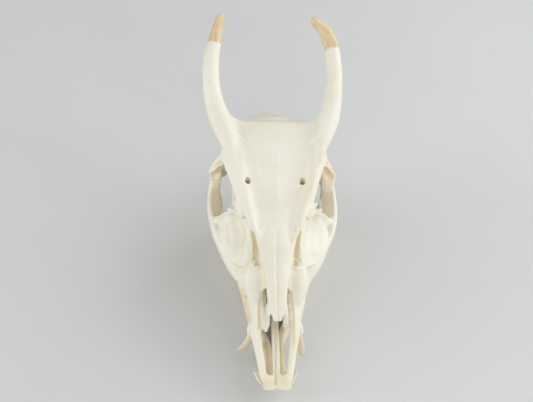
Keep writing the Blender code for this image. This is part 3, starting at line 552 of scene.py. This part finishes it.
def bone_finish(name, ivory, cream):
    """Cleaned bone: clouded ivory and cream, fine grain, patches of pores, and the painted stains, painted
    shade and painted glow.
    """
    material, shader, place = new_material(name)
    broad = place.noise(26, 3)
    mottle = place.noise(4.5, 4, 0.6)
    grain = place.drawn(1, 0.2, 1).noise(0.8, 3, 0.6)
    cells = place.node("ShaderNodeTexVoronoi", {}, {"Vector": place, "Scale": 1000 / pore_spacing})
    pores = (1 - cells.step(0.05, 0.19)) * place.noise(7, 2).step(0.56, 0.7)
    tan_and_shade, rosy_and_glow, uneven = attribute(place, "tan_and_shade"), attribute(place, "rosy_and_glow"), mottle * 0.5 + 0.75
    colour = plain(place, ivory).tinted(cream, broad.step(0.36, 0.7) * 0.7 + mottle.step(0.45, 0.8) * 0.3)
    # rosy: partly the thin bone's pink, partly painted glow
    colour = colour.tinted(rosy_and_glow_tint, rosy_and_glow * uneven)
    # tan and, past 1, brown: partly stain and partly painted shade in the hollows
    colour = colour.tinted(tan_stain_and_shade, tan_and_shade * uneven)
    colour = colour.tinted(brown_stain_and_shade, (tan_and_shade - 1).step(0, 1))
    colour = colour.tinted(pore_grey, pores * 0.28)
    feed(shader, Base_Color=colour, Roughness=mottle * 0.16 + 0.4,
         Normal=bump(place, grain * 0.5 + mottle * 0.5 - pores * 0.7, 0.08))
    return material


def paint(piece, name, strokes):
    """Keeps how strongly each spot is tinted near each stroke's path, for stains, painted shade and painted
    glow alike. Past 1 the tan turns brown.
    """
    spots = places(piece)
    tint = np.zeros(len(spots), np.float32)
    for path, reach, strength in both_ways(strokes):
        inside, near = nearness(spots, path, reach)
        tint[inside] = np.maximum(tint[inside], np.minimum(near * strength, 2))
    piece.data.attributes.new(name, "FLOAT", "POINT").data.foreach_set("value", tint)


def coat(piece, material):
    """This material alone, on every face."""
    piece.data.materials.clear()
    piece.data.materials.append(material)
    piece.data.polygons.foreach_set("material_index", np.zeros(len(piece.data.polygons), np.int32))


cleaned_bone = bone_finish("cleaned_bone", ivory=(0.83, 0.81, 0.71), cream=(0.77, 0.73, 0.59))
# Each stroke has its path, its reach and its strength, and its side if it has one.
nasal_side = [(7.5, 58, 29.5), (7, 50.5, 25), (6, 43, 22)]
# The tan strokes mark stain in the hollows and painted shade there alike.
tan_and_shade_places = [
    # the holes over the eyes, the slots beside the nasals, the pinholes and the slits below the pits,
    # whose tan and brown are partly stain and partly painted shade
    ([(14.5, 103, 36), (14.5, 102, 39), (14.5, 101.4, 42)], 2.1, 2.3),
    ([(11.8, 75, 34), (11.2, 71, 31), (10.5, 67, 28), (10.7, 63, 26.4), (11.6, 59, 26)], 2.2, 1.05),
    ([(18, 81, 25.6), (18.6, 81.4, 26.4)], 0.8, 1.8),
    ([(21.4, 65.8, 18.3), (18.5, 62.5, 19.5), (16.4, 61.6, 20.6)], 0.75, 1.2),
    # inside the nose and along its walls, tan that is partly stain and partly painted shade
    ([(5, 50, 14), (4, 62, 18)], 9, 0.9),
    (left_nose_wall[:4] + [(9, 29.5, 10), (9.5, 25.5, 8), (9, 20, 5)], 1.7, 0.9, 1),
    (right_nose_wall[1:5], 1.5, 1, -1),
    ([(6.8, 45, 17), (7.9, 38, 12.6), (8.3, 32, 8.6), (8.1, 26, 5), (7.4, 18, 2)], 2, 1),
    ([(-3, 35.4, 9), (-2.8, 31, 6.6)], 1.8, 1.7, 1),
    # the bars behind the eyes and the insides of the cheek arches: tan partly stain and partly
    # painted shade
    ([(27.6, 116.6, 38), (29.2, 116.4, 34.6), (30.6, 116.2, 32)], 3, 0.9),
    ([(31, 116, 35), (33.4, 116.4, 30.4)], 3.4, 0.8, 1),
    ([(26.4, 117, 38.6), (27.2, 116.6, 37)], 1.8, 1.4, -1),
    (bar_suture, 0.7, 0.5),
    ([(25.6, 112, 14), (25, 106, 13), (25, 98, 14)], 3, 0.8),
    # painted shade on the cheek round the right nerve hole and, stronger on the right, on the sides
    # of the nasals; painted shade in the pits; tan at the snout's end
    ([(16.5, 51.5, 9.5), (15, 46, 8.5), (13.5, 38.5, 7.5)], 5, 0.8, -1),
    (nasal_side, 3, 0.4, -1),
    (nasal_side, 2.4, 0.2, 1),
    ([(20.5, 84, 29.5), (17, 77, 30.5), (17, 73, 28.5)], 3.4, 0.25),
    ([(5, 3, 2), (0, 6, 2), (-5, 3, 2)], 6, 0.4, 1),
    # painted shade in the groove inside the left crest, tan partly painted shade in the one between
    # the bars, and a dark line on the seam of the nasals
    ([(19.4, 110, 47), (17.8, 102, 44.4), (13.8, 86, 40.6), (11.6, 78, 38.4)], 3, 0.14, 1),
    ([(-0.9, 4, 0.6), (-0.6, 13, 1.9), (-0.2, 25, 3.6), (0, 34, 6)], 0.9, 0.7, 1),
    ([(0.1, 27, 20), (-0.2, 40, 24.7), (0, 52, 28.6)], 0.5, 0.4, 1),
]
# A rosy tint on the insides of the cheek arches: partly the thin bone's pink, partly painted glow where they
# lie in shade.
rosy_and_glow_places = [
    ([(29.6, 116, 37), (30, 115, 28), (30.2, 110, 20), (29.6, 100, 17.4), (29, 95, 18.5)], 4.6, 0.8),
]
for node, bone in bones.items():
    pick(bone)
    bpy.ops.object.shade_smooth_by_angle(angle=math.radians(40))
    paint(bone, "tan_and_shade", tan_and_shade_places)
    paint(bone, "rosy_and_glow", rosy_and_glow_places)
    coat(bone, cleaned_bone)
    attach(bone, "root")
    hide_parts(node)
    "bone" if node.split("_")[0] in ("braincase", "frontal", "pedicle") else "face_bone"

# The antlers
# The buck's first antlers are single spikes that sit straight on the bony stalks, without a burr.
# They are bone too, rubbed bare, stained brown by bark and streaked along their length.

stalk_ivory, antler_brown = (0.83, 0.80, 0.69), (0.70, 0.54, 0.31)
antler_streak, antler_rubbed = (0.40, 0.24, 0.11), (0.80, 0.69, 0.48)
streaks_round, fine_streaks_round = 2.6, 4.6


def antler_finish():
    """Bone that turns brown a little way up the antler, with long streaks and rubbed specks."""
    material, shader, place = new_material("weathered_antler")
    way, along = attribute(place, "antler_way", "Vector"), attribute(place, "along")
    streak = way.noise(1000 / streaks_round, 4, 0.62)
    fine = way.noise(1000 / fine_streaks_round, 3, 0.6)
    speck = place.noise(1.4, 3, 0.6)
    brown = (along + streak * 6 - 3).step(8, 9.6)
    colour = plain(place, stalk_ivory).tinted(antler_brown, brown * (streak.step(0.3, 0.6) * 0.4 + 0.6))
    colour = colour.tinted(antler_streak, brown * fine.step(0.5, 0.74) * 0.55)
    colour = colour.tinted(antler_rubbed, brown * speck.step(0.52, 0.74) * 0.3)
    feed(shader, Base_Color=colour, Roughness=speck * 0.2 + 0.42,
         Normal=bump(place, brown * (streak * 0.8 + fine * 0.4) + speck * 0.15, 0.3))
    return material


def curve_through(knots, at):
    """Points on a smooth curve through the knots, at places counted in knots from the first one."""
    knots = np.array(knots, float)
    ends = np.vstack([2 * knots[0] - knots[1], knots, 2 * knots[-1] - knots[-2]])
    first = np.minimum(at.astype(int), len(knots) - 2)
    t = (at - first)[:, None]
    before, start, end, after = (ends[first + k] for k in range(4))
    return 0.5 * (2 * start + (end - before) * t + (2 * before - 5 * start + 4 * end - after) * t ** 2
                  + (3 * start - before - 3 * end + after) * t ** 3)


def headings(path, up=(0, 0, 1)):
    """The ways forwards, sideways and upwards at each point of a path."""
    forward = np.gradient(path, axis=0)
    forward /= np.linalg.norm(forward, axis=1)[:, None]
    level = np.cross(forward, up)
    level /= np.linalg.norm(level, axis=1)[:, None]
    return forward, level, np.cross(level, forward)


beam_axes = {
    "left": [(33.4, 163.4, 67.9), (32.2, 172.5, 72), (31.2, 176, 73.6), (29, 180.4, 76.2), (25.4, 183.6, 79),
             (18, 185.6, 83)],
    "right": [(-33.2, 165, 68.4), (-32.2, 172.5, 72), (-31.5, 177.5, 74.4), (-30.4, 183, 77),
              (-28.4, 191, 81)]}
weathered_antler = antler_finish()
for side_name, antler in antlers.items():
    # Each spot keeps its way round the antler and how far up it lies, for the streaks to follow.
    spots, knots = places(antler), beam_axes[side_name]
    axis = curve_through(knots, np.linspace(0, len(knots) - 1, 40))
    steps = np.append(0, np.cumsum(np.linalg.norm(np.diff(axis, axis=0), axis=1)))
    nearest = np.argmin(np.linalg.norm(spots[:, None] - axis[None], axis=2), axis=1)
    forward, level, rise = (heading[nearest] for heading in headings(axis))
    off = spots - axis[nearest]
    across, upright = (off * level).sum(axis=1), (off * rise).sum(axis=1)
    along = steps[nearest] + (off * forward).sum(axis=1)
    width = np.hypot(across, upright) + 0.01
    way = np.stack([across / width, upright / width, along * 0.05], axis=1).astype(np.float32)
    antler.data.attributes.new("antler_way", "FLOAT_VECTOR", "POINT").data.foreach_set("vector", way.ravel())
    antler.data.attributes.new("along", "FLOAT", "POINT").data.foreach_set("value", along.astype(np.float32))
    pick(antler)
    bpy.ops.object.shade_smooth_by_angle(angle=math.radians(40))
    coat(antler, weathered_antler)
    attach(antler, "root")
    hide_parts("antler_" + side_name)

# The upper tusks
# A short canine in each side of the upper jaw curves out and down behind the premaxilla. It is
# ivory, flattened, sharp behind, and stained tan; its root stands in the bone.


def squared_round(around, power):
    """Points round a circle. A power under 1 draws it out towards a square."""
    turn = np.arange(around) / around * 2 * math.pi
    return [np.sign(wave) * np.abs(wave) ** power for wave in (np.cos(turn), np.sin(turn))]


def rings_along(rows, up=(0, 1, 0), steps=5, power=1.0):
    """Rings of 20 points round a smooth path through rows of x, y, z, half width and thickness."""
    path = curve_through(rows, np.arange((len(rows) - 1) * steps + 1) / steps)
    level, rise = headings(path[:, :3], up)[1:]
    wide, tall = squared_round(20, power)
    return (path[:, None, :3] + level[:, None] * (wide[None, :, None] * path[:, None, 3:4])
            + rise[:, None] * (tall[None, :, None] * path[:, None, 4:5]))


def rolled(rings, name, side=1):
    """A sheet is rolled into a tube through the rings, and its ends are closed."""
    count, around = rings.shape[:2]
    bpy.ops.object.select_all(action="DESELECT")
    bpy.ops.mesh.primitive_grid_add(x_subdivisions=around, y_subdivisions=count - 1, size=1)
    body = bpy.context.object
    body.name = name
    flat = np.empty(len(body.data.vertices) * 3)
    body.data.vertices.foreach_get("co", flat)
    flat = flat.reshape(-1, 3)
    across = np.rint((flat[:, 0] + 0.5) * around).astype(int) % around
    onward = np.rint((flat[:, 1] + 0.5) * (count - 1)).astype(int)
    put_places(body, rings[onward, across] * (side, 1, 1))
    close_up(body)
    return body


def ivory_finish(name, pale, stained, stain):
    """Smooth tooth: pale and stained clouds, fine lines along it, and the painted stain."""
    material, shader, place = new_material(name)
    tan_and_shade = attribute(place, "tan_and_shade")
    cloud = place.noise(5, 3)
    lines = place.drawn(1, 1, 0.15).noise(0.5, 3, 0.6)
    colour = plain(place, pale).tinted(stained, cloud.step(0.35, 0.7) * 0.7 + lines.step(0.5, 0.8) * 0.3)
    colour = colour.tinted(stain, tan_and_shade * (cloud * 0.6 + 0.6))
    feed(shader, Base_Color=colour, Roughness=cloud * 0.15 + 0.2, Normal=bump(place, lines, 0.05))
    return material


tusk_ivory = ivory_finish("tusk_ivory_stained", pale=(0.80, 0.70, 0.52), stained=(0.72, 0.59, 0.40),
                          stain=(0.50, 0.36, 0.20))
tusk_neck = [(12.4, 34.6, 1), (12.9, 34.2, -1)]
tusk_axes = {
    "left": [(11.4, 36, 5, 1.7, 1.4), (12.8, 33.6, -0.6, 1.9, 1.5), (14, 31.4, -5, 1.8, 1.35),
             (14.7, 30, -9, 1.7, 1.15), (14.9, 29.4, -11.8, 1.55, 0.85), (14.9, 29.2, -12.6, 1.2, 0.6)],
    "right": [(11.2, 35, 4.6, 1.8, 1.4), (12.4, 32.4, -0.8, 2, 1.5), (14.4, 31, -5, 1.95, 1.4),
              (16, 30.6, -8.2, 1.9, 1.2), (17.2, 30.8, -10.2, 1.85, 0.9), (17.6, 30.9, -10.9, 1.5, 0.6)]}
for side_name, side in sides.items():
    tusk = rolled(rings_along(tusk_axes[side_name]), "tusk_%s_ivory" % side_name, side)
    finish_with(tusk, "SUBSURF", levels=1, render_levels=1)
    paint(tusk, "tan_and_shade", [(tusk_neck, 2.6, 0.5)])
    pick(tusk)
    bpy.ops.object.shade_smooth()
    coat(tusk, tusk_ivory)
    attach(tusk, "root")
    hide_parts("tusk_" + side_name)

# The upper cheek teeth
# Three premolars and three molars stand in each side of the upper jaw. Their enamel crowns have
# ribs on the cheek side, a cleft on the tongue side and crescent ridges that grind the food.


def crown(x, y, half_wide, half_long, root, neck, cusp, lobes, cheek):
    """A grinding tooth. cheek is 1 where its ribs face outwards and -1 where they face inwards."""
    across, onward = squared_round(32, 0.78)
    ribs = 0.07 * np.cos(onward * math.pi * 2 * lobes) * (across * cheek > 0)
    cleft = 0.24 * np.exp(-(onward / 0.17) ** 2) * (across * cheek < 0) * (lobes == 2)
    ribbed = 1 + ribs - cleft
    first_hill = 0 if lobes == 2 else math.pi / 2
    hills = np.abs(np.sin(onward * math.pi * lobes / 2 + first_hill))
    tall = cusp - neck
    # rings from the root over the cusps into the middle: height, spread, and how far they dip
    outline = [(root, 0.62, 0), ((root + neck) / 2, 0.8, 0)]
    outline += [(neck + tall * share, spread, dip) for share, spread, dip in (
        (0, 0.9, 0), (0.22, 1.0, 0), (0.6, 1.02, 0), (0.86, 0.93, 0.1), (1, 0.82, 0.26), (1, 0.74, 0.3),
        (0.78, 0.56, 0.12), (0.72, 0.46, 0), (0.88, 0.32, 0.12), (0.8, 0.2, 0), (0.7, 0.06, 0))]
    rings = []
    for height, spread, dip in outline:
        side_on = ribbed if spread > 0.4 else 1
        rings.append(np.stack([x + across * half_wide * spread * side_on, y + onward * half_long * spread,
                               height - tall * dip * (1 - hills)], axis=1))
    return np.array(rings)


enamel = ivory_finish("cheek_tooth_enamel", pale=(0.80, 0.74, 0.60), stained=(0.70, 0.60, 0.43),
                      stain=(0.22, 0.14, 0.08))
# The height at which the rows meet, half the gap between them, and each tooth's x, y, half width,
# half length and number of lobes.
bite, bite_gap = -5.6, 0.18
upper_row = [(10.6, 51.6, 2.9, 3.4, 1), (12.2, 58.5, 3.4, 3.3, 1), (14, 65.2, 3.9, 3.2, 1),
             (15.6, 72.8, 4.3, 4.1, 2), (16.7, 82, 4.6, 4.7, 2), (16.8, 91.6, 4.3, 4.6, 2)]
lower_row = [(9, 50.4, 1.8, 2.9, 1), (10.2, 56.8, 2.1, 3.3, 1), (11.4, 63.8, 2.4, 3.5, 1),
             (12.6, 71.8, 2.9, 4.1, 2), (14.2, 80.8, 3.2, 4.5, 2), (16, 91, 3.1, 5.4, 2)]


def tooth_row(row, name, side, root, neck, cusp, cheek):
    """A row of cheek teeth in one piece, stained in their pits and round their necks."""
    teeth, stains = [], []
    pit = cusp + (neck - cusp) * 0.3
    for x, y, wide, long, lobes in row:
        tooth = rolled(crown(x, y, wide, long, root, neck, cusp, lobes, cheek), name, side)
        finish_with(tooth, "SUBSURF", levels=1, render_levels=1)
        teeth.append(tooth)
        stains.append(([(x, y - long * 0.5, pit), (x, y + long * 0.5, pit)], wide * 0.6, 1.5))
        stains.append(([(x, y - long * 0.8, neck), (x, y + long * 0.8, neck)], wide * 1.25, 0.35))
    teeth = joined(teeth, name)
    paint(teeth, "tan_and_shade", stains)
    pick(teeth)
    bpy.ops.object.shade_smooth()
    coat(teeth, enamel)
    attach(teeth, "root")
    return teeth


for side_name, side in sides.items():
    row = tooth_row(upper_row, "upper_teeth_" + side_name, side, root=4.5, neck=0.1, cusp=bite + bite_gap,
                    cheek=1)
    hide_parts("maxilla_" + side_name)

# The lower jaw
# Two thin halves meet at the chin. Each runs back to a broad angle, a knuckle that hinges under
# the cheekbone and a blade that hooks up behind the eye. It is the same bone, a little creamier
# and darker, partly as painted shade for where it lies under the cranium.

jaw_cream_and_shade = bone_finish("jaw_bone_cream_and_shade", ivory=(0.84, 0.77, 0.62), cream=(0.77, 0.68, 0.49))
chin_hole = [(6, 36, -12), (6.4, 37.4, -12.2)]
blade_hollow = [(29.5, 116, -2), (29.6, 120, 8)]
angle_swell = [(28, 110, -22), (29.6, 120, -20)]
chin_trough = [(3, 10, -6), (4, 16, -6), (4, 22, -6.6), (5, 32, -8)]
tooth_sockets = [(9, 47, -10), (16, 96, -9.6)]
for side_name, side in sides.items():
    jaw = copy_of("mandible_" + side_name)
    # The cheek teeth of the solid come off at the jaw's edge, for the finer ones.
    teeth_box = slab((0, 45.5, -9.9), (40 * side, 97.6, 20))
    close_up(teeth_box)
    finish_with(jaw, "BOOLEAN", operation="DIFFERENCE", solver="MANIFOLD", object=teeth_box)
    bpy.data.objects.remove(teeth_box)
    finish_with(jaw, "SUBSURF", levels=2, render_levels=2)
    new_skin(jaw, rounds=8)
    roughen(jaw, size=10, depth=0.25)
    sculpt(jaw, [(chin_hole, 1.4, -1.1), (blade_hollow, 6, -0.4), (angle_swell, 5, 0.3)])
    jaw.name = "lower_jaw_%s_bone" % side_name
    pick(jaw)
    bpy.ops.object.shade_smooth_by_angle(angle=math.radians(50))
    # tan in the chin's hole, its trough and the tooth sockets: partly stain and partly painted shade
    paint(jaw, "tan_and_shade", [(chin_hole, 1.5, 1.2), (chin_trough, 5, 0.6), (tooth_sockets, 2.6, 0.4)])
    paint(jaw, "rosy_and_glow", [])
    coat(jaw, jaw_cream_and_shade)
    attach(jaw, "root")
    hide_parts("mandible_" + side_name)

# The lower cheek teeth
# Six in each half of the jaw, rooted in its edge and of the same enamel. Narrower than the upper
# ones, they bite just inside them, with their ribs towards the tongue.

for side_name, side in sides.items():
    row = tooth_row(lower_row, "lower_teeth_" + side_name, side, root=-13.5, neck=-10.3,
                    cusp=bite - bite_gap, cheek=-1)
    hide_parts("mandible_" + side_name)

# The lower front teeth
# Four small enamel blades lean forwards in each half of the chin, and the middle pair is the
# widest. They bite on a pad of gum, which a deer has instead of upper front teeth.

# Each blade's root, tip and half width.
front_row = [((1.7, 11.4, -6.6), (3.4, 4.6, -3.4), 3.2), ((2.8, 11, -6.8), (7.6, 6, -3.2), 2.3),
             ((3.4, 12.6, -7.2), (9.6, 8.9, -3.3), 2), ((3.8, 14.6, -7.6), (10.8, 11.8, -3.5), 1.8)]
blade_necks = [(2, 11, -6.6), (3.8, 14, -7.4)]
for side_name, side in sides.items():
    blades = []
    for root, tip, half_wide in front_row:
        rows = [(*Vector(root).lerp(Vector(tip), share), wide, thick) for share, wide, thick in (
            (0, 1.0, 1.0), (0.4, 1.2, 1.05), (0.7, half_wide * 0.82, 1.0), (0.9, half_wide, 0.72),
            (1.0, half_wide * 0.96, 0.34))]
        tooth = rolled(rings_along(rows, up=(0, 0, 1), steps=3, power=5 / 6), "front_tooth", side)
        finish_with(tooth, "SUBSURF", levels=1, render_levels=1)
        blades.append(tooth)
    blades = joined(blades, "front_teeth_" + side_name)
    paint(blades, "tan_and_shade", [(blade_necks, 3, 0.6)])
    pick(blades)
    bpy.ops.object.shade_smooth()
    coat(blades, enamel)
    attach(blades, "root")
    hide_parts("mandible_" + side_name)

# The floor, the light and the camera
# A plain pale floor of paper under soft lamps, stronger from the buck's left, so that the ridges
# of the face throw shade. The camera looks down on the face from before the nose.

bpy.context.scene.view_settings.view_transform = "Standard"
world = bpy.data.worlds.new("studio")
bpy.context.scene.world = world
world.use_nodes = True
fill_light = world.node_tree.nodes["Background"]
fill_light.inputs["Color"].default_value = (1, 1, 0.99, 1)
fill_light.inputs["Strength"].default_value = 0.28
floor_size = 4.0
bpy.ops.object.select_all(action="DESELECT")
bpy.ops.mesh.primitive_plane_add(size=floor_size, location=(0, 0, 0))
floor = bpy.context.object
floor.name = "floor"
paper, paper_shader, paper_place = new_material("pale_paper")
paper_colour = plain(paper_place, (0.66, 0.67, 0.67)).tinted((0.62, 0.63, 0.63), paper_place.noise(60, 3))
feed(paper_shader, Base_Color=paper_colour, Roughness=0.8)
coat(floor, paper)

camera_turn, camera_rise, camera_roll = math.radians(-7.65), math.radians(51.2), math.radians(6.78)
camera_distance = 629.4
looked_at = Vector((0, 85, 35))
back = Vector((math.sin(camera_turn) * math.cos(camera_rise), -math.cos(camera_turn) * math.cos(camera_rise),
               math.sin(camera_rise)))
right = Vector((0, 0, 1)).cross(back).normalized()
up = back.cross(right)
turned_right = right * math.cos(camera_roll) + up * math.sin(camera_roll)
turned_up = up * math.cos(camera_roll) - right * math.sin(camera_roll)
pose = Matrix((turned_right, turned_up, back)).transposed().to_4x4()
pose.translation = (looked_at + back * camera_distance) * MM
bpy.ops.object.camera_add()
camera = bpy.context.object
camera.matrix_world = skull_place @ pose
film_width = 36
picture_width, focal_pixels, shift_right, shift_up = 533, 1204.7, -8.8, 13.8
camera.data.sensor_width = film_width
camera.data.lens = film_width * focal_pixels / picture_width
camera.data.shift_x = shift_right / picture_width
camera.data.shift_y = shift_up / picture_width
camera.data.clip_start = 0.01
bpy.context.scene.camera = camera

# Each lamp's name for its side of the picture, its place, its width in metres and its power.
lamps = [("right_back", (0.75, 0.6, 0.6), 0.8, 4.8), ("right_high", (0.6, -0.1, 0.9), 0.8, 2.4),
         ("right_low", (0.95, -0.3, 0.3), 0.8, 3.6), ("front", (0, -0.95, 0.5), 0.8, 2.8),
         ("left_high", (-0.6, -0.1, 0.9), 0.8, 2.4), ("left_side", (-1.1, -0.15, 0.3), 0.5, 4.4)]
lit_spot = Vector((0, 0, 0.05))
for name, place, size, power in lamps:
    bpy.ops.object.light_add(type="AREA", location=place)
    lamp = bpy.context.object
    lamp.name = name
    lamp.data.energy, lamp.data.size = power, size
    lamp.rotation_euler = (lit_spot - lamp.location).to_track_quat("-Z", "Y").to_euler()
